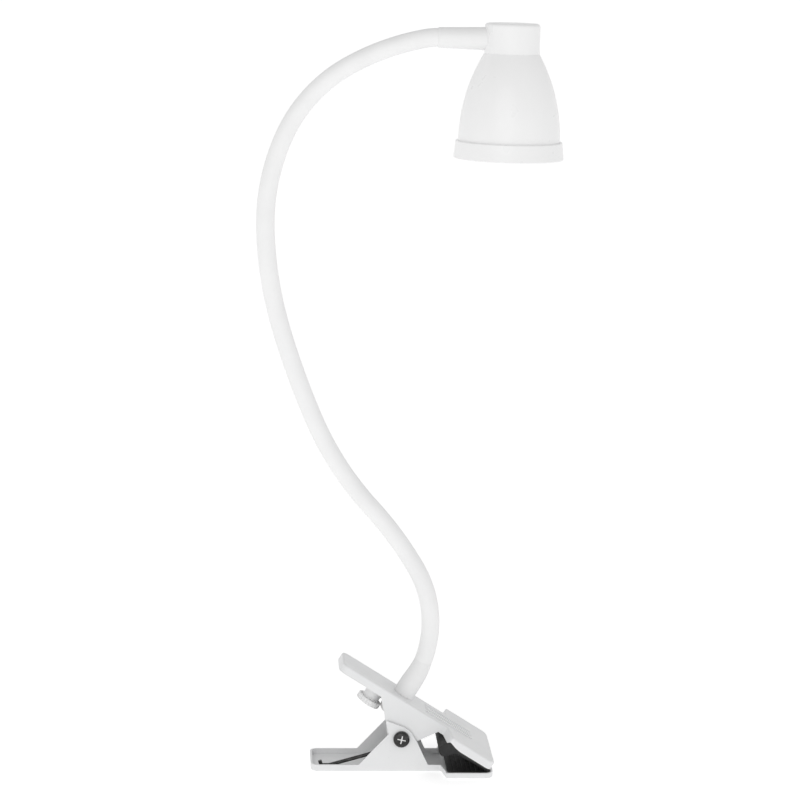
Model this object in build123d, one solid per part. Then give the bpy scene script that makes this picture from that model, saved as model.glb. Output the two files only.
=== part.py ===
from build123d import *
from math import cos, radians, sin
import os

# Clip-on reading lamp: a sprung steel clamp, a flexible gooseneck and a bell shaped LED head.
# Millimetres. +X runs to the jaw tips, -Y is the side with the pivot screw's head, +Z is up.
# The origin is on the flat underside of the lower jaw, straight below the clamp pivot.

os.makedirs("parts", exist_ok=True)

# ---- clamp: pressed steel jaws ----
SHEET = 1.2
PIVOT_Z = 20.3
LOWER_BACK, LOWER_FRONT = -53.6, 54.0
LOWER_WIDTH, WING_WIDTH = 32.4, 59.0
LOWER_FLANGE, LOWER_WING_FLANGE = 4.2, 3.5
LOWER_WING_START = 26.0
UPPER_SLOPE = 32.2
UPPER_TOP_Z = 44.1
UPPER_BACK, UPPER_FRONT = -41.0, 65.2
UPPER_WIDTH = 29.0
UPPER_WING_START = 35.0
UPPER_FLANGE = 5.2
WING_FLARE = 2.4
CORNER_R, BEND_R = 4.5, 1.15
RIB_FROM, RIB_TO, RIB_PITCH, RIB_WIDTH, RIB_HEIGHT = 18.0, 50.5, 6.3, 2.6, 0.6

# ---- clamp: pivot and torsion spring ----
SCREW_R, SCREW_HEAD_R, SCREW_HEAD_T = 2.5, 4.85, 2.9
EAR_HOLE_R = 2.56
NUT_AF, NUT_T = 8.0, 4.0
SLEEVE_R, SLEEVE_BORE_R, SLEEVE_HALF = 3.9, 2.6, 13.0
WASHER_R, WASHER_T, WASHER_Y = 4.6, 0.4, 14.75
WIRE_R, COIL_R, COIL_HALF, COIL_TURNS = 1.1, 5.5, 10.5, 6
LOWER_LEG_ANGLE, UPPER_LEG_ANGLE = 196.0, 131.0
LEG_BEND_R, LEG_FLAT, TIP_BEND_R, LEG_TIP = 6.0, 2.6, 1.6, 1.8
UPPER_LEG, UPPER_LEG_FLAT = 42.0, 8.0

# ---- clamp: rubber pads ----
PAD_HALF = 28.0
LOWER_PAD_BACK, LOWER_PAD_FRONT, LOWER_PAD_TOP = 27.2, 52.6, 3.4

# ---- cord gland under the upper handle ----
GLAND_U, GLAND_R, GLAND_LENGTH = -13.8, 5.15, 11.0
GLAND_CAP_R, GLAND_CAP_T, CORD_HOLE_R, KNURLS, KNURL_R = 7.5, 3.5, 2.0, 24, 0.4

# ---- gooseneck ----
NECK_U = 1.7
STUD_R, STUD_UP, STUD_DOWN = 4.9, 3.0, 8.0
NECK_NUT_AF, NECK_NUT_T, LOCK_WASHER_R, LOCK_WASHER_T = 15.0, 3.5, 8.0, 0.8
NECK_R, NECK_BORE_R = 5.4, 4.0
CORE_R, CORE_BORE_R, LEAD_R = 3.9, 2.6, 1.8
BALL_GAP = 0.3
BOOT_R, BOOT_STRAIGHT, BOOT_CURVED = 6.45, 12.5, 7.0
# each stretch is (length, turn in degrees), positive turns towards -X when it climbs
BASE_STRETCH = (14.3, 15.2)
LINKS = [
    (56.0, 47.5),
    (45.5, 12.0),
    (64.0, -19.0),
    (55.5, -6.5),
    (60.0, -15.0),
    (54.5, -25.5),
    (57.5, -37.5),
    (45.5, -18.0),
]
HEAD_STRETCH = (7.0, -11.5)

# ---- head ----
FERRULE_R, FERRULE_TIP_R, FERRULE_LENGTH, FERRULE_GRIP = 6.6, 5.9, 26.8, 10.0
SPIGOT_R, SPIGOT_LENGTH, HEAD_NUT_AF, HEAD_NUT_T = 4.9, 8.0, 13.0, 3.0
CAP_SEAT_IN, CAP_SEAT_OUT = 1.6, 4.0
CAP_R, CAP_TOP, CAP_BOTTOM, CAP_WALL, CAP_EDGE_R = 15.9, 9.1, -8.3, 1.8, 1.9
HEAD_REACH = CAP_R + FERRULE_LENGTH
BELL_R, BELL_BOTTOM, BELL_WALL, BELL_SWEEP_R, BELL_TAIL = 29.4, -58.1, 1.6, 99.6, 3.0
WEB_T, WEB_HOLE_R = 1.8, 4.0
RIM_TOP_R, RIM_R, RIM_BOTTOM, RIM_LIP = 30.9, 31.9, -68.4, 0.9
LENS_R, LENS_T, LENS_RECESS = 29.4, 2.0, 1.6
REFLECTOR_T, REFLECTOR_TOP_R, REFLECTOR_TOP, REFLECTOR_R = 0.8, 20.0, -46.2, 26.2

# ---- head: electrics ----
BOARD_R, BOARD_T, BOARD_Z, BOARD_HOLE_R = 19.0, 1.6, -44.0, 1.5
CHIP_SIDE, CHIP_T = 2.8, 0.7
CHIPS, CHIP_RING_R, INNER_CHIPS, INNER_RING_R = 12, 12.0, 6, 6.0
SCREW_RING_R, BOARD_SCREWS, BOARD_SCREW_R, BOARD_SCREW_LENGTH = 16.6, 3, 1.25, 4.0
BOARD_SCREW_HEAD_R, BOARD_SCREW_HEAD_T, BOARD_SCREW_SLOT = 2.4, 1.5, 2.6
SINK_R, SINK_PLATE_T, SINK_STEM_R, SINK_BORE_R = 19.6, 3.0, 7.0, 3.2
SINK_FINS, SINK_FIN_T, SINK_FIN_H = 12, 1.4, 13.0
DRIVER_R, DRIVER_T, DRIVER_Z, DRIVER_CUT, DRIVER_HOLE_R = 12.5, 1.4, -6.2, -7.4, 2.6
WIRE_GAP, HEAD_WIRE_R = 2.4, 0.8


UPWARD = (Align.CENTER, Align.CENTER, Align.MIN)
DOWNWARD = (Align.CENTER, Align.CENTER, Align.MAX)


def save(solid, node):
    """Write one named sub-part."""
    solid.label = node
    export_step(solid, "parts/" + node + ".step")


def joined(shapes):
    """Fuse shapes that touch or cross into one solid."""
    whole = shapes[0]
    for shape in shapes[1:]:
        whole = whole + shape
    return whole


def separate(shapes):
    """Keep like pieces as separate solids of one node."""
    return Compound(children=list(shapes))


PLATE = Plane(
    origin=(0, 0, UPPER_TOP_Z),
    x_dir=(cos(radians(UPPER_SLOPE)), 0, -sin(radians(UPPER_SLOPE))),
    z_dir=(sin(radians(UPPER_SLOPE)), 0, cos(radians(UPPER_SLOPE))),
)


NECK_HEADING = 90.0 - UPPER_SLOPE


def on_plate(u, w):
    """A point of the upper jaw's middle plane, in X and Z."""
    point = PLATE.from_local_coords((u, 0, w))
    return (point.X, point.Z)


def side_plate(points, y_outer, thickness):
    """A flat plate standing along the clamp, from its outline in X and Z."""
    outline = make_face(Polyline(*points, close=True))
    front = Plane(origin=(0, y_outer, 0), x_dir=(1, 0, 0), z_dir=(0, -1, 0))
    return extrude(front * outline, -thickness if y_outer < 0 else thickness)


def round_bar_y(radius, y_from, y_to, x=0.0, z=PIVOT_Z):
    """A cylinder across the clamp."""
    start = Plane(origin=(x, y_from, z), x_dir=(1, 0, 0), z_dir=(0, 1, 0))
    return extrude(start * Circle(radius), y_to - y_from)


def tray_outline(back, front, width, wing_start, corner, inset=0.0):
    """Outline of a pressed tray: a narrow handle that flares into the wings."""
    half, wing = width / 2 - inset, WING_WIDTH / 2 - inset
    start = wing_start + inset
    points = [
        (back + inset, -half),
        (start - WING_FLARE, -half),
        (start, -wing),
        (front - inset, -wing),
        (front - inset, wing),
        (start, wing),
        (start - WING_FLARE, half),
        (back + inset, half),
    ]
    face = make_face(Polyline(*points, close=True))
    ends = [v for v in face.vertices() if v.X < back + 3 or v.X > front - 3]
    face = fillet(ends, corner - inset)
    flares = [v for v in face.vertices() if start - WING_FLARE - 0.5 < v.X < start + 0.5]
    return fillet(flares, 1.0)


def tray(back, front, width, wing_start, flange):
    """A sheet metal tray, 0 at its flat side, with its flange standing in +Z."""
    outer = extrude(tray_outline(back, front, width, wing_start, CORNER_R), flange)
    rim = outer.faces().sort_by(Axis.Z)[0].edges()
    outer = fillet(rim, BEND_R)
    inner = extrude(tray_outline(back, front, width, wing_start, CORNER_R, SHEET), flange)
    return outer - Pos(0, 0, SHEET) * inner


def rounded_plate(points, y_outer, thickness, radii):
    """A side plate with some of its corners rounded, by corner number."""
    plate = side_plate(points, y_outer, thickness)
    for corner, radius in radii.items():
        x, z = points[corner]
        edge = plate.edges().filter_by(Axis.Y).sort_by_distance((x, y_outer, z))[0]
        plate = fillet(edge, radius)
    return plate


# ---------------------------------------------------------------- round bars along arcs


class Stretch:
    """A circular arc in the plane Y = 0."""

    def __init__(self, start, heading, length, turn):
        self.start, self.heading, self.length, self.turn = start, heading, length, turn
        self.side = 1 if turn > 0 else -1
        self.radius = length / abs(radians(turn))
        self.centre = self.point_beside(self.side * self.radius)

    def point_beside(self, distance):
        x, z = self.start
        angle = radians(self.heading)
        return (x - distance * sin(angle), z + distance * cos(angle))

    def at(self, travel):
        """The point and heading after some travel along the arc."""
        turn = self.turn * travel / self.length
        heading = self.heading + turn
        angle = radians(heading)
        x = self.centre[0] + self.side * self.radius * sin(angle)
        z = self.centre[1] - self.side * self.radius * cos(angle)
        return (x, z), heading

    def rod(self, radius, travel_from, travel_to):
        """A solid round bar along part of the arc."""
        (x, z), heading = self.at(travel_from)
        section = Plane(origin=(x, 0, z), x_dir=(0, 1, 0), z_dir=along(heading)) * Circle(radius)
        centre = (self.centre[0], 0, self.centre[1])
        sweep_deg = abs(self.turn) * (travel_to - travel_from) / self.length
        return revolve(section, axis=Axis(centre, (0, -self.side, 0)), revolution_arc=sweep_deg)

    def tube(self, radius, bore, travel_from, travel_to):
        rod = self.rod(radius, travel_from, travel_to)
        return rod - self.rod(bore, travel_from, travel_to)


def along(heading):
    return (cos(radians(heading)), 0, sin(radians(heading)))


def straight(start, heading, radius, bore, length):
    """A straight bar, or a tube if it has a bore, from a point of the plane Y = 0."""
    plane = Plane(origin=(start[0], 0, start[1]), x_dir=(0, 1, 0), z_dir=along(heading))
    tube = Cylinder(radius, length, align=UPWARD)
    if bore:
        tube -= Cylinder(bore, 3 * length)
    return plane * tube


def ball(point, radius):
    return Pos(point[0], 0, point[1]) * Sphere(radius)


def bent_bar(start, heading, radius, steps):
    """A round bar from steps of (run, turn in degrees, bend radius)."""
    pieces = []
    for run, turn, bend in steps:
        if run:
            pieces.append(straight(start, heading, radius, 0, run))
            x, z = start
            start = (x + run * cos(radians(heading)), z + run * sin(radians(heading)))
        if turn:
            arc = Stretch(start, heading, bend * abs(radians(turn)), turn)
            pieces.append(arc.rod(radius, 0, arc.length))
            start, heading = arc.at(arc.length)
    return joined(pieces)


# ---------------------------------------------------------------- lower jaw

LOWER_EAR = [
    (-26.2, 3.0),
    (-7.6, 23.0),
    (-9.6, 31.6),
    (2.0, 27.2),
    (5.2, 25.0),
    (9.4, 18.2),
    (16.6, 3.0),
]
LOWER_EAR_RADII = {1: 0.8, 2: 0.8, 4: 4.0, 5: 1.5}


def lower_jaw():
    half = LOWER_WIDTH / 2
    body = tray(LOWER_BACK, LOWER_FRONT, LOWER_WIDTH, LOWER_WING_START, LOWER_FLANGE)
    trim = Box(40, WING_WIDTH + 2, 4, align=(Align.MIN, Align.CENTER, Align.MIN))
    body -= Pos(LOWER_WING_START, 0, LOWER_WING_FLANGE) * trim
    for side in (-1, 1):
        body += rounded_plate(LOWER_EAR, side * half, SHEET, LOWER_EAR_RADII)
    return body - round_bar_y(EAR_HOLE_R, -half - 1, half + 1)


# ---------------------------------------------------------------- upper jaw

UPPER_EAR = [
    (-13.0, 48.0),
    (-9.6, 31.5),
    (-8.0, 20.3),
    (3.0, 15.5),
    (21.6, 24.0),
    (23.5, 27.0),
]
UPPER_EAR_END_R = 8.0
WING_SHOULDER = [(34.0, -3.1), (36.5, -3.5), (39.8, -4.6), (43.5, -5.2), (43.5, -6.5), (34.0, -6.5)]


def upper_jaw():
    half = UPPER_WIDTH / 2
    body = tray(UPPER_BACK, UPPER_FRONT, UPPER_WIDTH, UPPER_WING_START, UPPER_FLANGE)
    body = Rot(180, 0, 0) * body
    shoulder = make_face(Polyline(*WING_SHOULDER, close=True))
    across = Plane(origin=(0, WING_WIDTH / 2 + 1, 0), x_dir=(1, 0, 0), z_dir=(0, -1, 0))
    for side in (-1, 1):
        cut = extrude(across * shoulder, 3.5)
        body -= cut if side > 0 else mirror(cut, about=Plane.XZ)
    length = RIB_TO - RIB_FROM
    rib = extrude(SlotOverall(length, RIB_WIDTH), RIB_HEIGHT + 0.2)
    for row in (-1, 0, 1):
        body += Pos((RIB_FROM + RIB_TO) / 2, row * RIB_PITCH, -0.2) * rib
    body -= Pos(NECK_U, 0, 0) * Cylinder(STUD_R + 0.05, 6)
    body = PLATE * body
    for side in (-1, 1):
        ear = side_plate(UPPER_EAR, side * half, SHEET)
        end = round_bar_y(UPPER_EAR_END_R, side * half, side * (half - SHEET))
        body = joined([body, ear, end])
    return body - round_bar_y(EAR_HOLE_R, -half - 1, half + 1)


# ---------------------------------------------------------------- rubber pads


def lower_pad():
    """A rubber sheet in the lower jaw's wings."""
    inside = tray_outline(
        LOWER_BACK, LOWER_FRONT, LOWER_WIDTH, LOWER_WING_START, CORNER_R, SHEET + 0.3
    )
    block = extrude(inside, LOWER_PAD_TOP - SHEET)
    keep = Box(LOWER_PAD_FRONT - LOWER_PAD_BACK, 2 * PAD_HALF, 10)
    keep = Pos((LOWER_PAD_BACK + LOWER_PAD_FRONT) / 2, 0, 0) * keep
    return Pos(0, 0, SHEET) * (block & keep)


def upper_pad(jaw):
    """A thick rubber wedge under the upper jaw, curled round in front of the pivot."""
    with BuildSketch(Plane(origin=(0, PAD_HALF, 0), x_dir=(1, 0, 0), z_dir=(0, -1, 0))) as side:
        with BuildLine():
            Polyline((25.4, 22.4), (30.5, 22.2), (53.0, 10.0), (49.9, 4.6), (32.0, 15.0))
            Line((32.0, 15.0), (26.0, 13.4))
            ThreePointArc((26.0, 13.4), (22.4, 12.9), (20.6, 14.8))
            Line((20.6, 14.8), (20.0, 17.1))
            ThreePointArc((20.0, 17.1), (21.7, 21.0), (25.4, 22.4))
        make_face()
    return extrude(side.sketch, 2 * PAD_HALF) - jaw


# ---------------------------------------------------------------- pivot and spring


def pivot_screw():
    y_head = -LOWER_WIDTH / 2
    shaft = round_bar_y(SCREW_R, y_head, -y_head + NUT_T + 0.8)
    head = round_bar_y(SCREW_HEAD_R, y_head, y_head - SCREW_HEAD_T)
    head = fillet(head.faces().sort_by(Axis.Y)[0].edges(), 1.8)
    slot = Box(5.4, 1.5, 0.95) + Box(0.95, 1.5, 5.4)
    slot = Pos(0, y_head - SCREW_HEAD_T, PIVOT_Z) * (Rot(0, 12, 0) * slot)
    return joined([shaft, head]) - slot


def hex_nut(width, height, bore):
    """A hex nut standing on the XY plane, with its corners rounded off."""
    prism = extrude(RegularPolygon(width / 2, 6, major_radius=False), height)
    prism = prism & Cylinder(width / 2 * 1.11, height, align=UPWARD)
    return prism - Cylinder(bore, 3 * height)


def pivot_nut():
    face = Plane(origin=(0, LOWER_WIDTH / 2, PIVOT_Z), x_dir=(1, 0, 0), z_dir=(0, 1, 0))
    return face * hex_nut(NUT_AF, NUT_T, SCREW_R)


def pivot_sleeve():
    tube = round_bar_y(SLEEVE_R, -SLEEVE_HALF, SLEEVE_HALF)
    return tube - round_bar_y(SLEEVE_BORE_R, -SLEEVE_HALF - 1, SLEEVE_HALF + 1)


def pivot_washers():
    rings = []
    for side in (-1, 1):
        middle = side * WASHER_Y
        disc = round_bar_y(WASHER_R, middle - WASHER_T / 2, middle + WASHER_T / 2)
        rings.append(disc - round_bar_y(SLEEVE_BORE_R, middle - 1, middle + 1))
    return separate(rings)


def on_coil(angle, side):
    """Where a straight leg at an angle leaves the coil, in X and Z."""
    return (
        side * COIL_R * sin(radians(angle)),
        PIVOT_Z - side * COIL_R * cos(radians(angle)),
    )


def coil():
    """The left-handed helix between the two legs, about the pivot."""
    turns = COIL_TURNS + (UPPER_LEG_ANGLE - LOWER_LEG_ANGLE - 180) / 360 % 1
    pitch = 2 * COIL_HALF / turns
    helix = Helix(pitch=pitch, height=2 * COIL_HALF, radius=COIL_R, lefthand=True)
    section = Plane(origin=helix @ 0, z_dir=helix % 0) * Circle(WIRE_R)
    spring = sweep(section, path=helix, is_frenet=True)
    x, z = on_coil(LOWER_LEG_ANGLE, -1)
    start = Plane(origin=(0, -COIL_HALF, PIVOT_Z), x_dir=(x, 0, z - PIVOT_Z), z_dir=(0, 1, 0))
    return start * spring


def torsion_spring():
    """A coil about the pivot, one leg along the lower handle and one under the upper."""
    floor = SHEET + WIRE_R + 0.05
    low = on_coil(LOWER_LEG_ANGLE, -1)
    high = on_coil(UPPER_LEG_ANGLE, 1)
    drop = LOWER_LEG_ANGLE - 180
    run = (low[1] - floor) / sin(radians(drop))
    lower_steps = [(run - 0.8, -drop, LEG_BEND_R), (LEG_FLAT, -72, TIP_BEND_R), (LEG_TIP, 0, 0)]
    lower = bent_bar(low, LOWER_LEG_ANGLE, WIRE_R, lower_steps)
    along_plate = 180 - UPPER_SLOPE
    upper_steps = [(UPPER_LEG, along_plate - UPPER_LEG_ANGLE, LEG_BEND_R), (UPPER_LEG_FLAT, 0, 0)]
    upper = bent_bar(high, UPPER_LEG_ANGLE, WIRE_R, upper_steps)
    near_side = Pos(0, -COIL_HALF, 0) * (lower + ball(low, WIRE_R))
    far_side = Pos(0, COIL_HALF, 0) * (upper + ball(high, WIRE_R))
    return joined([coil(), near_side, far_side])


# ---------------------------------------------------------------- cord gland


def gland_body():
    tube = Cylinder(GLAND_R, GLAND_LENGTH, align=UPWARD) - Cylinder(CORD_HOLE_R, 3 * GLAND_LENGTH)
    return PLATE * (Pos(GLAND_U, 0, -SHEET - GLAND_LENGTH) * tube)


def gland_cap():
    cap = Cylinder(GLAND_CAP_R, GLAND_CAP_T, align=UPWARD)
    cap = fillet(cap.edges().filter_by(GeomType.CIRCLE), 0.5)
    cap -= Cylinder(CORD_HOLE_R, 3 * GLAND_CAP_T)
    groove = Pos(GLAND_CAP_R, 0, 0) * Cylinder(KNURL_R, 3 * GLAND_CAP_T)
    for step in range(KNURLS):
        cap -= Rot(0, 0, step * 360 / KNURLS) * groove
    return PLATE * (Pos(GLAND_U, 0, -SHEET - GLAND_LENGTH - GLAND_CAP_T) * cap)


def inner_lead():
    """The lead from the neck's threaded end round to the side of the gland."""
    steps = [(1.5, -90, 3.5), (0.3, -90, 3.0), (0, 90, 2.8), (0.7, 0, 0)]
    return bent_bar(on_plate(NECK_U, -STUD_DOWN - 0.3), NECK_HEADING + 180, LEAD_R, steps)


# ---------------------------------------------------------------- gooseneck


def end_dome(stretch):
    """The rounded end that a neck link turns on, with a hole for the lead."""
    (x, z), heading = stretch.at(stretch.length)
    plane = Plane(origin=(x, 0, z), x_dir=(0, 1, 0), z_dir=along(heading))
    cup = Sphere(NECK_R) - Sphere(NECK_BORE_R)
    cup -= Pos(0, 0, -NECK_R) * Box(4 * NECK_R, 4 * NECK_R, 2 * NECK_R)
    return plane * (cup - Cylinder(CORE_BORE_R, 4 * NECK_R))


stretches = [Stretch(on_plate(NECK_U, BOOT_STRAIGHT), NECK_HEADING, *BASE_STRETCH)]
for shape in LINKS + [HEAD_STRETCH]:
    end, heading = stretches[-1].at(stretches[-1].length)
    stretches.append(Stretch(end, heading, *shape))
FIRST, LAST = 0, len(stretches) - 1
NECK_END, HEAD_HEADING = stretches[LAST].at(stretches[LAST].length)


def neck_piece(number, radius, bore, start_gap, end_gap):
    """The part of a neck layer that lies in one link."""
    stretch = stretches[number]
    first = start_gap if number > FIRST else 0
    last = stretch.length - (end_gap if number < LAST else 0)
    pieces = [stretch.tube(radius, bore, first, last)]
    if number == FIRST:
        low = on_plate(NECK_U, STUD_UP + 0.3)
        length = BOOT_STRAIGHT - STUD_UP - 0.3
        pieces.append(straight(low, NECK_HEADING, radius, bore, length))
    if number == LAST:
        pieces.append(straight(NECK_END, HEAD_HEADING, radius, bore, FERRULE_GRIP - 0.3))
    return joined(pieces)


def neck_sleeve(number):
    sleeve = neck_piece(number, NECK_R, NECK_BORE_R, 0, 0)
    if number > FIRST:
        sleeve -= ball(stretches[number].start, NECK_R + BALL_GAP)
    if number < LAST:
        sleeve += end_dome(stretches[number])
    return sleeve


def neck_core(number):
    return neck_piece(number, CORE_R, CORE_BORE_R, NECK_R + BALL_GAP, 1.0)


def neck_lead(number):
    stretch = stretches[number]
    first = NECK_R + 2 * BALL_GAP if number > FIRST else 0
    lead = stretch.rod(LEAD_R, first, stretch.length)
    if number == FIRST:
        low = on_plate(NECK_U, -STUD_DOWN)
        lead += straight(low, NECK_HEADING, LEAD_R, 0, BOOT_STRAIGHT + STUD_DOWN)
    if number == LAST:
        lead += straight(NECK_END, HEAD_HEADING, LEAD_R, 0, FERRULE_LENGTH + SPIGOT_LENGTH + 2)
    return lead


def neck_boot():
    straight_part = straight(on_plate(NECK_U, 0), NECK_HEADING, BOOT_R, NECK_R, BOOT_STRAIGHT)
    return straight_part + stretches[FIRST].tube(BOOT_R, NECK_R, 0, BOOT_CURVED)


def neck_stud():
    low = on_plate(NECK_U, -STUD_DOWN)
    return straight(low, NECK_HEADING, STUD_R, CORE_BORE_R, STUD_DOWN + STUD_UP)


def neck_nut():
    nut = hex_nut(NECK_NUT_AF, NECK_NUT_T, STUD_R)
    return PLATE * (Pos(NECK_U, 0, -SHEET - LOCK_WASHER_T - NECK_NUT_T) * nut)


def neck_washer():
    ring = Cylinder(LOCK_WASHER_R, LOCK_WASHER_T, align=UPWARD) - Cylinder(STUD_R + 0.1, 5)
    return PLATE * (Pos(NECK_U, 0, -SHEET - LOCK_WASHER_T) * ring)


# ---------------------------------------------------------------- head

HEAD = Plane(
    origin=(
        NECK_END[0] + HEAD_REACH * cos(radians(HEAD_HEADING)),
        0,
        NECK_END[1] + HEAD_REACH * sin(radians(HEAD_HEADING)),
    ),
    x_dir=along(HEAD_HEADING),
    z_dir=along(HEAD_HEADING + 90),
)


def turned(*outline):
    """A solid of revolution about the head's axis, from an outline in radius and height."""
    face = Plane.XZ * make_face(outline)
    return HEAD * revolve(face, axis=Axis.Z)


def turned_ring(points):
    return turned(*Polyline(*points, close=True).edges())


def cross_bar(radius, start, length, bore=0.0):
    """A round bar along the ferrule's axis, placed from the head's axis."""
    plane = Plane(origin=(start, 0, 0), x_dir=(0, 1, 0), z_dir=(1, 0, 0))
    bar = Cylinder(radius, length, align=UPWARD)
    if bore:
        bar -= Cylinder(bore, 3 * length)
    return HEAD * (plane * bar)


def head_ferrule():
    """The tapered sleeve that grips the neck's end and screws into the cap's side."""
    plane = Plane(origin=(-HEAD_REACH, 0, 0), x_dir=(0, 1, 0), z_dir=(1, 0, 0))
    cone = Cone(FERRULE_TIP_R, FERRULE_R, FERRULE_LENGTH, align=UPWARD)
    cone = fillet(cone.edges().sort_by(Axis.Z)[0], 0.5)
    cone += Pos(0, 0, FERRULE_LENGTH) * Cylinder(FERRULE_R, CAP_SEAT_IN, align=UPWARD)
    cone += Pos(0, 0, FERRULE_LENGTH) * Cylinder(SPIGOT_R, SPIGOT_LENGTH, align=UPWARD)
    cone -= Cylinder(NECK_R, 2 * FERRULE_GRIP)
    return HEAD * (plane * (cone - Cylinder(CORE_BORE_R, 4 * FERRULE_LENGTH)))


def head_nut():
    plane = Plane(origin=(-CAP_R + CAP_SEAT_OUT, 0, 0), x_dir=(0, 1, 0), z_dir=(1, 0, 0))
    return HEAD * (plane * hex_nut(HEAD_NUT_AF, HEAD_NUT_T, SPIGOT_R))


def head_cap():
    """The round cap over the bell, with a flat seat in its side for the ferrule."""
    outer = Cylinder(CAP_R, CAP_TOP - CAP_BOTTOM, align=UPWARD)
    outer = fillet(outer.edges().filter_by(GeomType.CIRCLE).sort_by(Axis.Z)[-1], CAP_EDGE_R)
    inner = Cylinder(CAP_R - CAP_WALL, CAP_TOP - CAP_BOTTOM - CAP_WALL, align=UPWARD)
    shell = HEAD * (Pos(0, 0, CAP_BOTTOM) * (outer - inner))
    seat = cross_bar(HEAD_NUT_AF * 0.62, -CAP_R + CAP_SEAT_IN, CAP_SEAT_OUT - CAP_SEAT_IN)
    shell -= cross_bar(FERRULE_R, -CAP_R - 1, 1 + CAP_SEAT_IN)
    return shell + seat - cross_bar(SPIGOT_R, -CAP_R - 1, 2 + CAP_SEAT_OUT)


def bell_arc(inset, low, high):
    """The bell's side in radius and height, a single arc that ends upright at the rim."""
    radius = BELL_SWEEP_R - inset
    centre = (BELL_R - BELL_SWEEP_R, BELL_BOTTOM)

    def side(height):
        rise = height - centre[1]
        return (centre[0] + (radius**2 - rise**2) ** 0.5, height)

    return ThreePointArc(side(low), side((low + high) / 2), side(high))


def shade_shell():
    outer = bell_arc(0, BELL_BOTTOM, CAP_BOTTOM)
    inner = bell_arc(BELL_WALL, BELL_BOTTOM, CAP_BOTTOM - WEB_T)
    tail = BELL_BOTTOM - BELL_TAIL
    lip = Polyline(inner @ 0, (BELL_R - BELL_WALL, tail), (BELL_R, tail), outer @ 0)
    web = Polyline(
        inner @ 1, (WEB_HOLE_R, CAP_BOTTOM - WEB_T), (WEB_HOLE_R, CAP_BOTTOM), outer @ 1
    )
    return turned(outer, inner, *lip.edges(), *web.edges())


def bezel_ring():
    seat = RIM_BOTTOM + LENS_RECESS
    return turned_ring([
        (BELL_R, BELL_BOTTOM),
        (RIM_TOP_R - 0.5, BELL_BOTTOM),
        (RIM_TOP_R, BELL_BOTTOM - 0.5),
        (RIM_R, RIM_BOTTOM + 0.6),
        (RIM_R - 0.6, RIM_BOTTOM),
        (LENS_R - RIM_LIP, RIM_BOTTOM),
        (LENS_R - RIM_LIP, seat),
        (LENS_R + 0.05, seat),
        (LENS_R + 0.05, seat + LENS_T + 0.4),
        (BELL_R, BELL_BOTTOM - BELL_TAIL),
    ])


def diffuser_lens():
    seat = RIM_BOTTOM + LENS_RECESS
    return HEAD * (Pos(0, 0, seat) * Cylinder(LENS_R, LENS_T, align=UPWARD))


def reflector():
    low = BELL_BOTTOM - BELL_TAIL - 0.2
    return turned_ring([
        (REFLECTOR_TOP_R, REFLECTOR_TOP),
        (REFLECTOR_TOP_R + REFLECTOR_T, REFLECTOR_TOP),
        (REFLECTOR_R + REFLECTOR_T, low),
        (LENS_R - 0.4, low),
        (LENS_R - 0.4, low - REFLECTOR_T),
        (REFLECTOR_R, low - REFLECTOR_T),
    ])


def ring_places(radius, count, height, offset=0.0):
    """Evenly spaced places round the head's axis."""
    for step in range(count):
        yield Rot(0, 0, offset + step * 360 / count) * Pos(radius, 0, height)


def led_board():
    board = Cylinder(BOARD_R, BOARD_T, align=UPWARD) - Cylinder(BOARD_HOLE_R, 9)
    for place in ring_places(SCREW_RING_R, BOARD_SCREWS, 0):
        board -= place * Cylinder(BOARD_SCREW_R + 0.1, 9)
    return HEAD * (Pos(0, 0, BOARD_Z - BOARD_T) * board)


def led_chips():
    chip = Box(CHIP_SIDE, CHIP_SIDE, CHIP_T, align=DOWNWARD)
    low = BOARD_Z - BOARD_T
    places = list(ring_places(CHIP_RING_R, CHIPS, low, 15))
    places += list(ring_places(INNER_RING_R, INNER_CHIPS, low))
    return separate([HEAD * (place * chip) for place in places])


def board_screws():
    head = Cylinder(BOARD_SCREW_HEAD_R, BOARD_SCREW_HEAD_T, align=DOWNWARD)
    head = fillet(head.edges().sort_by(Axis.Z)[0], 0.8)
    screw = head + Cylinder(BOARD_SCREW_R, BOARD_SCREW_LENGTH, align=UPWARD)
    slot = Box(BOARD_SCREW_SLOT, 0.6, 1.2)
    screw -= Pos(0, 0, -BOARD_SCREW_HEAD_T) * (slot + Rot(0, 0, 90) * slot)
    places = ring_places(SCREW_RING_R, BOARD_SCREWS, BOARD_Z - BOARD_T)
    return separate([HEAD * (place * screw) for place in places])


def heat_sink():
    """A cast disc with radial fins, on a stem that screws to the bell's web."""
    sink = Cylinder(SINK_R, SINK_PLATE_T, align=UPWARD)
    fin_size = (SINK_R - SINK_STEM_R, SINK_FIN_T, SINK_PLATE_T + SINK_FIN_H)
    fin = Pos(SINK_STEM_R - 1, 0, 0) * Box(*fin_size, align=(Align.MIN, Align.CENTER, Align.MIN))
    for step in range(SINK_FINS):
        sink += Rot(0, 0, step * 360 / SINK_FINS) * fin
    sink += Cylinder(SINK_STEM_R, CAP_BOTTOM - WEB_T - BOARD_Z, align=UPWARD)
    sink -= Cylinder(SINK_BORE_R, 200)
    for place in ring_places(SCREW_RING_R, BOARD_SCREWS, 0):
        sink -= place * Cylinder(BOARD_SCREW_R, 2 * (BOARD_SCREW_LENGTH - BOARD_T + 0.2))
    return HEAD * (Pos(0, 0, BOARD_Z) * sink)


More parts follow.
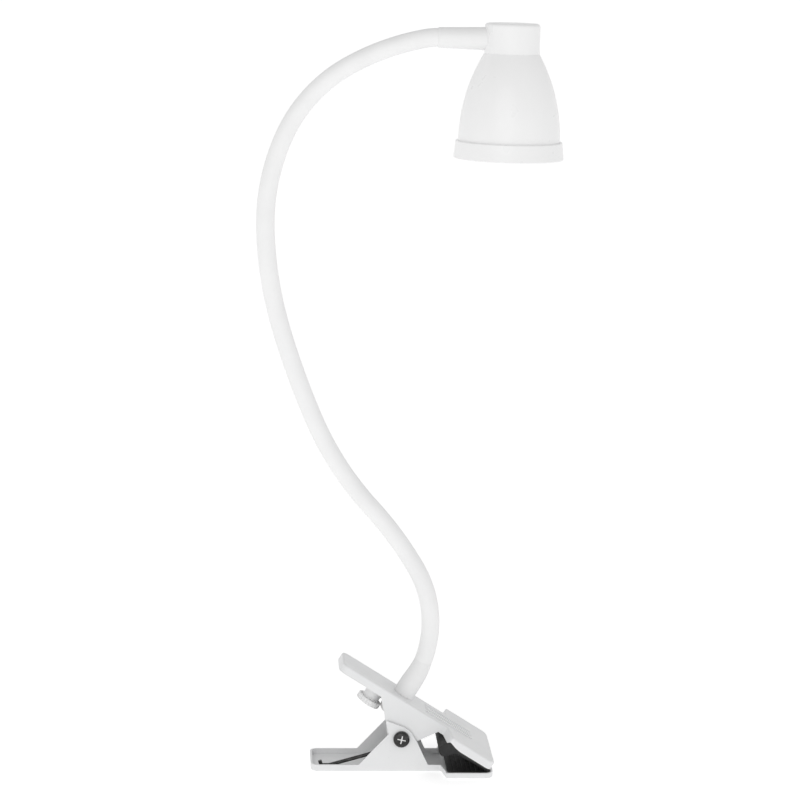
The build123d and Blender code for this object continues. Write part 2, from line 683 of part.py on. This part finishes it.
def driver_board():
    """The LED driver: a round board with its coil, capacitor and chip."""
    board = Cylinder(DRIVER_R, DRIVER_T, align=UPWARD) - Cylinder(DRIVER_HOLE_R, 9)
    board += Pos(5.5, 5.0, DRIVER_T) * Cylinder(2.5, 7.0, align=UPWARD)
    board += Pos(5.5, -5.0, DRIVER_T) * Box(5, 5, 3.5, align=UPWARD)
    board -= Pos(DRIVER_CUT - 10, 0, 0) * Box(20, 30, 9)
    return HEAD * (Pos(0, 0, DRIVER_Z) * board)


def head_wires():
    """The two conductors from the driver down to the LED board."""
    wire = Cylinder(HEAD_WIRE_R, DRIVER_Z - BOARD_Z - 0.2, align=UPWARD)
    places = [Pos(side * WIRE_GAP / 2, 0, BOARD_Z + 0.1) for side in (-1, 1)]
    return separate([HEAD * (place * wire) for place in places])


# ---------------------------------------------------------------- write every sub-part

upper = upper_jaw()
save(lower_jaw(), "lower_jaw")
save(lower_pad(), "lower_pad")
save(pivot_screw(), "pivot_screw")
save(pivot_nut(), "pivot_nut")
save(pivot_sleeve(), "pivot_sleeve")
save(pivot_washers(), "pivot_washers")
save(torsion_spring(), "torsion_spring")
save(upper, "upper_jaw")
save(upper_pad(upper), "upper_pad")
save(gland_body(), "gland_body")
save(gland_cap(), "gland_cap")
save(inner_lead(), "inner_lead")
save(neck_boot(), "neck_boot")
save(neck_stud(), "neck_stud")
save(neck_nut(), "neck_nut")
save(neck_washer(), "neck_washer")
for number in range(len(stretches)):
    save(neck_sleeve(number), "neck_sleeve_" + str(number))
    save(neck_core(number), "neck_core_" + str(number))
    save(neck_lead(number), "neck_lead_" + str(number))
save(head_ferrule(), "head_ferrule")
save(head_nut(), "head_nut")
save(head_cap(), "head_cap")
save(shade_shell(), "shade_shell")
save(bezel_ring(), "bezel_ring")
save(diffuser_lens(), "diffuser_lens")
save(reflector(), "reflector")
save(led_board(), "led_board")
save(led_chips(), "led_chips")
save(board_screws(), "board_screws")
save(heat_sink(), "heat_sink")
save(driver_board(), "driver_board")
save(head_wires(), "head_wires")

# the joints' places for the record
for number, stretch in enumerate(stretches):
    print("joint", number, [round(value, 3) for value in stretch.start], stretch.heading)
print("neck end", [round(value, 3) for value in NECK_END], HEAD_HEADING)
print("head", [round(value, 3) for value in HEAD.origin])
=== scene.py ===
import bpy
import bmesh
from math import cos, radians, sin
from mathutils import Matrix, Vector


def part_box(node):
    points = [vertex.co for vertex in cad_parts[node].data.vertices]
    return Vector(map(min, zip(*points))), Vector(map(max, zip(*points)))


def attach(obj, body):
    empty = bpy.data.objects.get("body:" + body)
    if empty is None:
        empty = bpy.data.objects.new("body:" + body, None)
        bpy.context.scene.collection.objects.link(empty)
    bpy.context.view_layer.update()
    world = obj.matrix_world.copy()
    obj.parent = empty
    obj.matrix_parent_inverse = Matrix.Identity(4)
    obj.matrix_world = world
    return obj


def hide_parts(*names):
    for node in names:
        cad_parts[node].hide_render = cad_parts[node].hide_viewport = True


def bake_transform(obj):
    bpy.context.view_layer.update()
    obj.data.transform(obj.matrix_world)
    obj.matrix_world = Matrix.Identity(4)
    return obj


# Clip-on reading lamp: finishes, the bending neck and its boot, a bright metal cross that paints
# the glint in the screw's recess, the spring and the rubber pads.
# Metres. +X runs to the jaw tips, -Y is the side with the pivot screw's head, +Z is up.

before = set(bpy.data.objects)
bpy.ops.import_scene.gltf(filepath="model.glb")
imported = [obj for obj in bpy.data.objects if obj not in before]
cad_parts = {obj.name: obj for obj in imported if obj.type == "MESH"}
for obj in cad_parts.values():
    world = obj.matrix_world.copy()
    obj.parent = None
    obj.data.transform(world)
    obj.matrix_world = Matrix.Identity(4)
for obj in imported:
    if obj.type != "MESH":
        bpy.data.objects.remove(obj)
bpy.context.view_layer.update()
MM = 0.001
WAVES_PER_UNIT = 0.314  # a Wave texture of scale 1 repeats about every 0.314 m


# ---- finishes ----

class Finish:
    """A surface finish: a drifting tint, uneven gloss and a fine relief."""

    def __init__(self, name, dark, light, gloss, patch=40.0, metallic=0.0, specular=0.5):
        self.material = bpy.data.materials.new(name)
        self.material.use_nodes = True
        self.nodes = self.material.node_tree.nodes
        self.links = self.material.node_tree.links
        self.surface = self.nodes["Principled BSDF"]
        self.surface.inputs["Metallic"].default_value = metallic
        self.surface.inputs["Specular IOR Level"].default_value = specular
        self.place = self.nodes.new("ShaderNodeTexCoord").outputs["Object"]
        self.normal = None
        self.tint(self.noise(patch, 4.0), dark, light)
        self.gloss(self.noise(patch * 3.7, 3.0), *gloss)

    def moved(self, centre=(0, 0, 0)):
        """The object's coordinates, counted from a centre."""
        mapping = self.nodes.new("ShaderNodeMapping")
        mapping.inputs["Location"].default_value = [-c for c in centre]
        self.links.new(self.place, mapping.inputs["Vector"])
        return mapping.outputs["Vector"]

    def noise(self, scale, detail):
        """Soft clouds."""
        noise = self.nodes.new("ShaderNodeTexNoise")
        noise.inputs["Scale"].default_value = scale
        noise.inputs["Detail"].default_value = detail
        self.links.new(self.place, noise.inputs["Vector"])
        return noise.outputs["Fac"]

    def cells(self, scale):
        """Small rounded cells."""
        cells = self.nodes.new("ShaderNodeTexVoronoi")
        cells.inputs["Scale"].default_value = scale
        self.links.new(self.place, cells.inputs["Vector"])
        return cells.outputs["Distance"]

    def lathe_rings(self, centre, axis, pitch):
        """Turning marks round an axis, one every pitch."""
        rings = self.nodes.new("ShaderNodeTexWave")
        rings.wave_type = "RINGS"
        rings.rings_direction = axis
        rings.inputs["Scale"].default_value = WAVES_PER_UNIT / pitch
        rings.inputs["Distortion"].default_value = 0.6
        self.links.new(self.moved(centre=centre), rings.inputs["Vector"])
        return rings.outputs["Fac"]

    def ramp(self, mask, low, high, from_low, from_high):
        """The mask stretched to run from low to high."""
        between = self.nodes.new("ShaderNodeMapRange")
        between.inputs["From Min"].default_value = from_low
        between.inputs["From Max"].default_value = from_high
        between.inputs["To Min"].default_value = low
        between.inputs["To Max"].default_value = high
        self.links.new(mask, between.inputs["Value"])
        return between.outputs["Result"]

    def tint(self, mask, dark, light):
        """Colour that drifts between two shades."""
        blend = self.nodes.new("ShaderNodeMix")
        blend.data_type = "RGBA"
        blend.inputs["A"].default_value = (*dark, 1)
        blend.inputs["B"].default_value = (*light, 1)
        self.links.new(self.ramp(mask, 0, 1, 0.35, 0.65), blend.inputs["Factor"])
        self.colour = blend.outputs["Result"]
        self.links.new(self.colour, self.surface.inputs["Base Color"])

    def specks(self, mask, colour, amount, from_low, from_high):
        """Marks of another colour where the mask is high."""
        blend = self.nodes.new("ShaderNodeMix")
        blend.data_type = "RGBA"
        self.links.new(self.ramp(mask, 0, amount, from_low, from_high), blend.inputs["Factor"])
        self.links.new(self.colour, blend.inputs["A"])
        blend.inputs["B"].default_value = (*colour, 1)
        self.colour = blend.outputs["Result"]
        self.links.new(self.colour, self.surface.inputs["Base Color"])

    def gloss(self, mask, low, high):
        """Roughness between two values."""
        result = self.ramp(mask, low, high, 0.3, 0.7)
        self.links.new(result, self.surface.inputs["Roughness"])

    def relief(self, mask, height, strength):
        """Raise the surface a little where the mask is high, over any relief it has."""
        bump = self.nodes.new("ShaderNodeBump")
        bump.inputs["Strength"].default_value = strength
        bump.inputs["Distance"].default_value = height
        self.links.new(mask, bump.inputs["Height"])
        if self.normal:
            self.links.new(self.normal, bump.inputs["Normal"])
        self.normal = bump.outputs["Normal"]
        self.links.new(self.normal, self.surface.inputs["Normal"])


def grey(value, warmth=0.0):
    """A grey, a little warmer or cooler."""
    return (value * (1 + warmth), value, value * (1 - warmth))


powder_coat = Finish("powder_coat", grey(0.765, -0.006), grey(0.79, -0.004), (0.34, 0.44))
powder_coat.relief(powder_coat.noise(620, 2.0), 0.05 * MM, 0.5)
powder_coat.relief(powder_coat.noise(2200, 1.0), 0.012 * MM, 0.5)
powder_coat.specks(powder_coat.noise(900, 1.0), grey(0.60), 0.35, 0.72, 0.80)

shade_plastic = Finish("shade_plastic", grey(0.845), grey(0.865), (0.27, 0.34), patch=25)
shade_plastic.relief(shade_plastic.noise(1500, 2.0), 0.008 * MM, 0.4)

neck_skin = Finish("neck_skin", grey(0.835), grey(0.86), (0.42, 0.52), patch=60)
neck_skin.relief(neck_skin.noise(1900, 3.0), 0.025 * MM, 0.6)
neck_skin.relief(neck_skin.noise(230, 1.0), 0.08 * MM, 0.35)

boot_skin = Finish("boot_skin", grey(0.80), grey(0.83), (0.46, 0.56), patch=60)
boot_skin.relief(boot_skin.noise(1700, 3.0), 0.03 * MM, 0.6)

ferrule_plastic = Finish("ferrule_plastic", grey(0.82), grey(0.845), (0.30, 0.38), patch=50)
ferrule_plastic.relief(ferrule_plastic.noise(1500, 2.0), 0.012 * MM, 0.5)

gland_nylon = Finish("gland_nylon", grey(0.79), grey(0.82), (0.40, 0.50), patch=90)
gland_nylon.relief(gland_nylon.noise(1300, 2.0), 0.03 * MM, 0.5)

pad_rubber = Finish("pad_rubber", grey(0.014), grey(0.024), (0.52, 0.68), patch=120, specular=0.4)
pad_rubber.relief(pad_rubber.noise(1500, 4.0), 0.06 * MM, 0.7)
pad_rubber.specks(pad_rubber.noise(700, 3.0), grey(0.07), 0.5, 0.66, 0.80)

screw_low, screw_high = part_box("pivot_screw")
PIVOT = (0, 0, screw_low[2] / 2 + screw_high[2] / 2)
screw_black = Finish("screw_black", grey(0.035), grey(0.06), (0.20, 0.32), 300, 0.85)
screw_black.relief(screw_black.lathe_rings(PIVOT, "Y", 0.22 * MM), 0.008 * MM, 0.4)
screw_black.relief(screw_black.noise(2500, 2.0), 0.006 * MM, 0.5)

# bright metal for the cross in the dark screw's recess: a painted glint
painted_glint_steel = Finish("painted_glint_steel", grey(0.62), grey(0.78), (0.16, 0.30), 500, 1.0)
painted_glint_steel.relief(painted_glint_steel.noise(2600, 3.0), 0.02 * MM, 0.6)

zinc_plate = Finish("zinc_plate", grey(0.50, -0.01), grey(0.62, -0.01), (0.26, 0.42), 350, 1.0)
zinc_plate.relief(zinc_plate.cells(1400), 0.015 * MM, 0.4)
zinc_plate.specks(zinc_plate.noise(600, 3.0), grey(0.42, 0.03), 0.5, 0.62, 0.75)

spring_steel = Finish("spring_steel", grey(0.035), grey(0.07, 0.01), (0.30, 0.46), 250, 0.8)
spring_steel.relief(spring_steel.noise(1800, 3.0), 0.02 * MM, 0.5)
spring_steel.specks(spring_steel.noise(500, 4.0), grey(0.16, 0.02), 0.5, 0.60, 0.75)

neck_steel = Finish("neck_steel", grey(0.34), grey(0.46), (0.30, 0.46), 300, 1.0)
neck_steel.relief(neck_steel.noise(900, 2.0), 0.03 * MM, 0.5)

lead_sheath = Finish("lead_sheath", grey(0.74, 0.01), grey(0.79, 0.01), (0.40, 0.52), 90)
lead_sheath.relief(lead_sheath.noise(1400, 2.0), 0.02 * MM, 0.5)

frosted = Finish("frosted", grey(0.84), grey(0.88), (0.42, 0.54), patch=60)
frosted.relief(frosted.cells(900), 0.05 * MM, 0.5)
frosted.surface.inputs["Transmission Weight"].default_value = 0.25
frosted.surface.inputs["Subsurface Weight"].default_value = 0.25
frosted.surface.inputs["Subsurface Scale"].default_value = 2 * MM

reflector_white = Finish("reflector_white", grey(0.86), grey(0.90), (0.16, 0.26), 80)
reflector_white.relief(reflector_white.noise(1200, 2.0), 0.01 * MM, 0.5)

board_white = Finish("board_white", grey(0.78), grey(0.84), (0.30, 0.42), 200)
board_white.relief(board_white.noise(1000, 3.0), 0.02 * MM, 0.5)

phosphor = Finish("phosphor", (0.78, 0.55, 0.10), (0.86, 0.66, 0.16), (0.30, 0.44), 600)
phosphor.relief(phosphor.noise(3000, 3.0), 0.02 * MM, 0.6)

cast_metal = Finish("cast_metal", grey(0.52), grey(0.60), (0.48, 0.64), 150, 1.0)
cast_metal.relief(cast_metal.noise(1300, 4.0), 0.08 * MM, 0.7)

driver_green = Finish("driver_green", (0.02, 0.12, 0.05), (0.03, 0.18, 0.07), (0.34, 0.5), 300)
driver_green.relief(driver_green.noise(1500, 2.0), 0.02 * MM, 0.5)

wire_red = Finish("wire_red", (0.42, 0.03, 0.02), (0.52, 0.04, 0.03), (0.36, 0.48), 200)
wire_red.relief(wire_red.noise(1500, 2.0), 0.02 * MM, 0.5)

COVERINGS = [
    (powder_coat, ["lower_jaw", "upper_jaw"]),
    (screw_black, ["pivot_screw"]),
    (zinc_plate, ["pivot_nut", "pivot_sleeve", "pivot_washers", "neck_stud", "neck_nut"]),
    (zinc_plate, ["neck_washer", "head_nut", "board_screws"]),
    (gland_nylon, ["gland_body", "gland_cap"]),
    (lead_sheath, ["inner_lead"]),
    (ferrule_plastic, ["head_ferrule"]),
    (shade_plastic, ["head_cap", "shade_shell", "bezel_ring"]),
    (frosted, ["diffuser_lens"]),
    (reflector_white, ["reflector"]),
    (board_white, ["led_board"]),
    (phosphor, ["led_chips"]),
    (cast_metal, ["heat_sink"]),
    (driver_green, ["driver_board"]),
    (wire_red, ["head_wires"]),
]
for covering, names in COVERINGS:
    for name in names:
        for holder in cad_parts[name].material_slots:
            holder.material = covering.material


# ---- bent tubes and wires ----

class Run:
    """A round section drawn along straights and bends that lie across Y."""

    def __init__(self, shape, x, y, z, heading, radius, sides):
        self.shape = shape
        self.place = Vector((x, y, z))
        self.heading = heading
        self.radius = radius
        turn = Matrix.Rotation(radians(90 - heading), 4, "Y")
        ring = bmesh.ops.create_circle(shape, segments=sides, radius=radius)["verts"]
        bmesh.ops.transform(shape, verts=ring, matrix=Matrix.Translation(self.place) @ turn)
        self.ring = list({edge for vert in ring for edge in vert.link_edges})

    def forward(self):
        angle = radians(self.heading)
        return Vector((cos(angle), 0, sin(angle)))

    def straight(self, length, steps=1):
        for _ in range(steps):
            made = bmesh.ops.extrude_edge_only(self.shape, edges=self.ring)["geom"]
            verts = [part for part in made if isinstance(part, bmesh.types.BMVert)]
            move = self.forward() * (length / steps)
            bmesh.ops.translate(self.shape, verts=verts, vec=move)
            self.ring = [
                part for part in made
                if isinstance(part, bmesh.types.BMEdge) and all(v in verts for v in part.verts)
            ]
            self.place = self.place + move

    def bend(self, length, turn, steps, drift=0.0):
        """An arc of a length that turns left by an angle, moving sideways in Y by drift."""
        side = 1 if turn > 0 else -1
        radius = length / abs(radians(turn))
        across = Vector((-self.forward().z, 0, self.forward().x)) * side
        centre = self.place + across * radius
        made = bmesh.ops.spin(
            self.shape, geom=self.ring, cent=centre, axis=(0, -side, 0),
            dvec=(0, drift / steps, 0), angle=radians(abs(turn)), steps=steps,
            use_duplicate=False,
        )["geom_last"]
        self.ring = [part for part in made if isinstance(part, bmesh.types.BMEdge)]
        self.heading += turn
        arm = self.place - centre
        arm.rotate(Matrix.Rotation(radians(abs(turn)), 3, Vector((0, -side, 0))))
        self.place = centre + arm + Vector((0, drift, 0))

    def swell(self, radius):
        """Give the last ring another radius."""
        verts = list({vert for edge in self.ring for vert in edge.verts})
        factor = radius / self.radius
        bmesh.ops.scale(
            self.shape, vec=(factor, factor, factor), verts=verts,
            space=Matrix.Translation(-self.place),
        )
        self.radius = radius


def close_ends(shape):
    ends = [edge for edge in shape.edges if len(edge.link_faces) == 1]
    bmesh.ops.holes_fill(shape, edges=ends, sides=64)


def finished(shape, name, material, crisp=35):
    """Turn a bmesh into a named piece with smooth sides and crisp corners."""
    bmesh.ops.remove_doubles(shape, verts=shape.verts, dist=1e-7)
    bmesh.ops.recalc_face_normals(shape, faces=shape.faces)
    for face in shape.faces:
        face.smooth = True
    for edge in shape.edges:
        edge.smooth = edge.is_manifold and edge.calc_face_angle(0) < radians(crisp)
    mesh = bpy.data.meshes.new(name)
    shape.to_mesh(mesh)
    shape.free()
    mesh.materials.append(material)
    piece = bpy.data.objects.new(name, mesh)
    bpy.context.scene.collection.objects.link(piece)
    return piece


# ---- the neck's skin, steel core and lead, one length of each across every bend ----

# Where the neck leaves the upper handle: x, z and heading in degrees. Then each arc's
# length in mm and left turn in degrees, as the CAD has them.
NECK_FOOT = (8.099 * MM, 53.772 * MM, 57.8)
ARCS = [
    (14.3, 15.2),
    (56.0, 47.5),
    (45.5, 12.0),
    (64.0, -19.0),
    (55.5, -6.5),
    (60.0, -15.0),
    (54.5, -25.5),
    (57.5, -37.5),
    (45.5, -18.0),
    (7.0, -11.5),
]
LAST_BEND = len(ARCS) - 1
NECK_STEP = 1.6 * MM
BOOT_CLEAR = 2.0 * MM
foot_x, foot_z, foot_heading = NECK_FOOT
foot_place = Vector((foot_x, 0, foot_z))
foot_way = Vector((cos(radians(foot_heading)), 0, sin(radians(foot_heading))))


def arc(run, number, share):
    """Draw a share of one of the neck's arcs."""
    length, turn = ARCS[number][0] * MM * share, ARCS[number][1] * share
    run.bend(length, turn, max(2, round(length / NECK_STEP)))


def neck_layer(stem, radius, wall, drop, tail, sides, finish):
    """One layer of the neck, from a drop below the boot's bend to a tail inside the head."""
    start, heading = foot_place - foot_way * drop, foot_heading
    for number in range(1, len(ARCS)):
        shape = bmesh.new()
        run = Run(shape, start.x, 0, start.z, heading, radius, sides)
        if number == 1:
            clear = BOOT_CLEAR / (ARCS[0][0] * MM)
            run.straight(drop, 4)
            arc(run, 0, 1 - clear)
            arc(run, 0, clear)
        else:
            arc(run, number - 1, 0.5)
        if number == LAST_BEND:
            arc(run, number, 1)
            run.straight(tail, 4)
        else:
            arc(run, number, 0.5)
        bmesh.ops.recalc_face_normals(shape, faces=shape.faces)
        if wall:
            bmesh.ops.solidify(shape, geom=list(shape.faces), thickness=wall)
        else:
            close_ends(shape)
        piece = finished(shape, stem + "_length_" + str(number), finish.material)
        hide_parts("neck_" + stem + "_" + str(number))
        if number == 1:
            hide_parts("neck_" + stem + "_0")
        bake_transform(piece)
        start, heading = run.place, run.heading


neck_layer("sleeve", 5.4 * MM, 0.9 * MM, 9.0 * MM, 9.7 * MM, 40, neck_skin)
neck_layer("core", 3.9 * MM, 1.2 * MM, 9.0 * MM, 9.5 * MM, 24, neck_steel)
neck_layer("lead", 1.8 * MM, 0, 20.5 * MM, 36.5 * MM, 16, lead_sheath)


# ---- the soft boot at the neck's foot, which thins out up the neck ----

BOOT_FOOT, BOOT_STEP, BOOT_WALL, STRAIGHT_STEPS = 12.4 * MM, 1.6 * MM, 0.6 * MM, 8
BOOT_RADII = [
    6.2, 6.35, 6.42, 6.45, 6.45, 6.43, 6.4, 6.35,
    6.28, 6.2, 6.1, 5.98, 5.84, 5.68, 5.54, 5.46,
]
boot = bmesh.new()
foot = foot_place - foot_way * BOOT_FOOT
cuff = Run(boot, foot.x, 0, foot.z, foot_heading, BOOT_RADII[0] * MM, 48)
for step, radius in enumerate(BOOT_RADII[1:]):
    if step < STRAIGHT_STEPS:
        cuff.straight(BOOT_FOOT / STRAIGHT_STEPS)
    else:
        cuff.bend(BOOT_STEP, ARCS[0][1] * BOOT_STEP / (ARCS[0][0] * MM), 1)
    cuff.swell(radius * MM)
bmesh.ops.recalc_face_normals(boot, faces=boot.faces)
bmesh.ops.solidify(boot, geom=list(boot.faces), thickness=BOOT_WALL)
boot_piece = finished(boot, "boot", boot_skin.material)
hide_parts("neck_boot")
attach(boot_piece, "upper_clamp")


# ---- a bright metal cross in the pivot screw's recess: a painted glint ----

CROSS_SIDE, CROSS_ARM, CROSS_T = 0.9 * MM, 2.1 * MM, 0.35 * MM
CROSS_SUNK, CROSS_TURN = 0.75 * MM, 12.0
cross = bmesh.new()
bmesh.ops.create_cube(cross, size=1.0)
bmesh.ops.scale(cross, vec=(CROSS_SIDE, CROSS_T, CROSS_SIDE), verts=cross.verts)
sides = [face for face in cross.faces if abs(face.normal.y) < 0.5]
for arm in bmesh.ops.extrude_discrete_faces(cross, faces=sides)["faces"]:
    outward = arm.calc_center_median().normalized()
    bmesh.ops.translate(cross, verts=arm.verts, vec=outward * CROSS_ARM)
bmesh.ops.recalc_face_normals(cross, faces=cross.faces)
bmesh.ops.bevel(
    cross, geom=list(cross.edges), offset=0.1 * MM, segments=2, profile=0.5,
    affect="EDGES", material=-1, clamp_overlap=True,
)
recess = screw_low[1] + CROSS_SUNK - CROSS_T / 2
placed = Matrix.Translation((0, recess, PIVOT[2])) @ Matrix.Rotation(radians(CROSS_TURN), 4, "Y")
bmesh.ops.transform(cross, verts=cross.verts, matrix=placed)
# the cross is a painted glint, bright metal laid on the recess floor
cross_piece = finished(cross, "screw_glint_cross", painted_glint_steel.material)
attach(cross_piece, "lower_clamp")


# ---- the torsion spring: a leg, the turns round the pivot, a leg ----

WIRE_R, COIL_R, COIL_HALF = 1.1 * MM, 5.5 * MM, 10.5 * MM
LOW_LEG, HIGH_LEG, PLATE_SLOPE = 196.0, 131.0, 32.2
LEG_BEND_R, TIP_BEND_R, TIP_TURN = 6.0 * MM, 1.6 * MM, 72.0
WIRE_GAP, LOW_FLAT, LOW_TIP = 2.35 * MM, 2.6 * MM, 1.8 * MM
HIGH_STRAIGHT, HIGH_TIP = 42.0 * MM, 8.0 * MM
COIL_TURNS, COIL_STEPS, LEG_BACK = 6, 228, 0.8 * MM
coil_foot = (COIL_R * -sin(radians(LOW_LEG)), PIVOT[2] + COIL_R * cos(radians(LOW_LEG)))
leg_drop = LOW_LEG - 180
coil_turn = COIL_TURNS * 360 + HIGH_LEG - leg_drop
high_turn = 180 - PLATE_SLOPE - HIGH_LEG
leg_run = (coil_foot[1] - WIRE_GAP) / sin(radians(leg_drop)) - LEG_BACK
spring = bmesh.new()
leg = Run(spring, coil_foot[0], -COIL_HALF, coil_foot[1], LOW_LEG, WIRE_R, 20)
leg.straight(leg_run, 8)
leg.bend(LEG_BEND_R * radians(leg_drop), -leg_drop, 5)
leg.straight(LOW_FLAT, 2)
leg.bend(TIP_BEND_R * radians(TIP_TURN), -TIP_TURN, 10)
leg.straight(LOW_TIP, 2)
wire = Run(spring, coil_foot[0], -COIL_HALF, coil_foot[1], leg_drop, WIRE_R, 20)
wire.bend(COIL_R * radians(coil_turn), coil_turn, COIL_STEPS, 2 * COIL_HALF)
wire.straight(HIGH_STRAIGHT, 14)
wire.bend(LEG_BEND_R * radians(high_turn), high_turn, 6)
wire.straight(HIGH_TIP, 3)
bmesh.ops.remove_doubles(spring, verts=spring.verts, dist=0.02 * MM)
close_ends(spring)
spring_piece = finished(spring, "spring_wire", spring_steel.material)
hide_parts("torsion_spring")
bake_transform(spring_piece)


# ---- rubber pads, ribbed where they grip ----

GROOVE_PITCH, GROOVE_WIDTH = 2.6 * MM, 1.3 * MM
GROOVE_DEPTH, GROOVE_SLOPE = 0.45 * MM, 0.35 * MM
PAD_HALF, PAD_EDGE_R, PAD_MARGIN = 27.9 * MM, 0.5 * MM, 2.0 * MM

def moulded(corners, half_width):
    """A block across the clamp from its side outline, with rounded edges."""
    shape = bmesh.new()
    verts = [shape.verts.new((x * MM, -half_width, z * MM)) for x, z in corners]
    side = shape.faces.new(verts)
    made = bmesh.ops.extrude_face_region(shape, geom=[side])["geom"]
    far = [part for part in made if isinstance(part, bmesh.types.BMVert)]
    bmesh.ops.translate(shape, verts=far, vec=(0, 2 * half_width, 0))
    bmesh.ops.recalc_face_normals(shape, faces=shape.faces)
    bmesh.ops.bevel(
        shape, geom=list(shape.edges), offset=PAD_EDGE_R, segments=3, profile=0.5,
        affect="EDGES", material=-1, clamp_overlap=True,
    )
    return shape


def grooves(shape, start, end, normal, half_width):
    """Press grooves across a flat face, between two points of the side outline."""
    start, end = Vector((start[0] * MM, 0, start[1] * MM)), Vector((end[0] * MM, 0, end[1] * MM))
    run = (end - start).normalized()
    count = int((end - start).length / GROOVE_PITCH)
    inside = half_width - PAD_MARGIN
    cuts = [start + run * (step + 0.5) * GROOVE_PITCH for step in range(count)]
    for middle in cuts:
        for offset in (-GROOVE_WIDTH / 2, GROOVE_WIDTH / 2):
            parts = list(shape.verts) + list(shape.edges) + list(shape.faces)
            at = middle + run * offset
            bmesh.ops.bisect_plane(shape, geom=parts, plane_co=at, plane_no=run)
    for side in (-1, 1):
        parts = list(shape.verts) + list(shape.edges) + list(shape.faces)
        bmesh.ops.bisect_plane(
            shape, geom=parts, plane_co=(0, side * inside, 0), plane_no=(0, 1, 0)
        )
    strips = []
    for face in shape.faces:
        centre = face.calc_center_median()
        near = any(abs((centre - middle).dot(run)) < GROOVE_WIDTH * 0.3 for middle in cuts)
        level = abs((centre - start).dot(normal)) < 0.3 * MM
        if near and level and abs(centre.y) < inside and face.normal.dot(normal) > 0.9:
            strips.append(face)
    bmesh.ops.inset_individual(shape, faces=strips, thickness=GROOVE_SLOPE, depth=-GROOVE_DEPTH)


upper_corners = [
    (27.2, 21.5), (31.0, 21.9), (53.0, 9.1), (49.9, 4.6), (32.0, 15.0), (27.0, 13.6),
    (25.0, 13.2), (23.2, 13.5), (22.0, 14.9), (21.7, 17.1), (22.5, 19.4), (24.6, 20.9),
]
upper_block = moulded(upper_corners, PAD_HALF)
grip = Vector((-10.4, 0, -17.9)).normalized()
grooves(upper_block, (48.6, 5.36), (33.4, 14.18), grip, PAD_HALF)
upper_rubber = finished(upper_block, "upper_rubber", pad_rubber.material, crisp=30)
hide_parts("upper_pad")
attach(upper_rubber, "upper_clamp")

low_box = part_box("lower_pad")
base, top = low_box[0][2] / MM, low_box[1][2] / MM
back, front = low_box[0][0] / MM, low_box[1][0] / MM
lower_corners = [(back, base), (front, base), (front, top), (back, top)]
lower_block = moulded(lower_corners, low_box[1][1] - 0.02 * MM)
up = Vector((0, 0, 1))
grooves(lower_block, (back + 2, top), (front - 2, top), up, low_box[1][1])
lower_rubber = finished(lower_block, "lower_rubber", pad_rubber.material, crisp=30)
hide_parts("lower_pad")
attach(lower_rubber, "lower_clamp")


# ---- floor, light and camera ----

floor_finish = bpy.data.materials.new("floor_white")
floor_finish.use_nodes = True
floor_surface = floor_finish.node_tree.nodes["Principled BSDF"]
floor_surface.inputs["Base Color"].default_value = (0.9, 0.9, 0.9, 1)
floor_surface.inputs["Roughness"].default_value = 0.9
floor_surface.inputs["Specular IOR Level"].default_value = 0.1
floor_surface.inputs["Emission Color"].default_value = (1, 1, 1, 1)
floor_surface.inputs["Emission Strength"].default_value = 0.42
ground = bmesh.new()
bmesh.ops.create_circle(ground, cap_ends=True, segments=96, radius=60)
floor = finished(ground, "floor", floor_finish)

sky = bpy.data.worlds.new("studio")
sky.use_nodes = True
bpy.context.scene.world = sky
nodes, links = sky.node_tree.nodes, sky.node_tree.links
upward = nodes.new("ShaderNodeSeparateXYZ")
links.new(nodes.new("ShaderNodeTexCoord").outputs["Generated"], upward.inputs["Vector"])
falloff = nodes.new("ShaderNodeMapRange")
falloff.inputs["From Min"].default_value = 0.0
falloff.inputs["From Max"].default_value = 0.7
falloff.inputs["To Min"].default_value = 1.0
falloff.inputs["To Max"].default_value = 0.62
links.new(upward.outputs["Z"], falloff.inputs["Value"])
links.new(falloff.outputs["Result"], nodes["Background"].inputs["Strength"])
nodes["Background"].inputs["Color"].default_value = (1, 1, 1, 1)


def softbox(name, place, target, size, power):
    lamp = bpy.data.lights.new(name, "AREA")
    lamp.shape = "RECTANGLE"
    lamp.size, lamp.size_y = size
    lamp.energy = power
    holder = bpy.data.objects.new(name, lamp)
    holder.location = place
    aim = Vector(target) - Vector(place)
    holder.rotation_euler = aim.to_track_quat("-Z", "Y").to_euler()
    bpy.context.scene.collection.objects.link(holder)


softbox("front", (-0.5, -1.9, 1.0), (0, 0, 0.22), (1.6, 1.2), 5)

lens = bpy.data.cameras.new("camera")
lens.lens = 116.1
lens.clip_end = 200
camera = bpy.data.objects.new("camera", lens)
bpy.context.scene.collection.objects.link(camera)
camera.matrix_world = (
    Matrix.Translation((-0.0864, -1.4844, 0.4944))
    @ Matrix.Rotation(radians(-3.194), 4, "Z")
    @ Matrix.Rotation(radians(90 - 10.383), 4, "X")
    @ Matrix.Rotation(radians(1.029), 4, "Z")
)
bpy.context.scene.camera = camera
bpy.context.scene.view_settings.view_transform = "Standard"
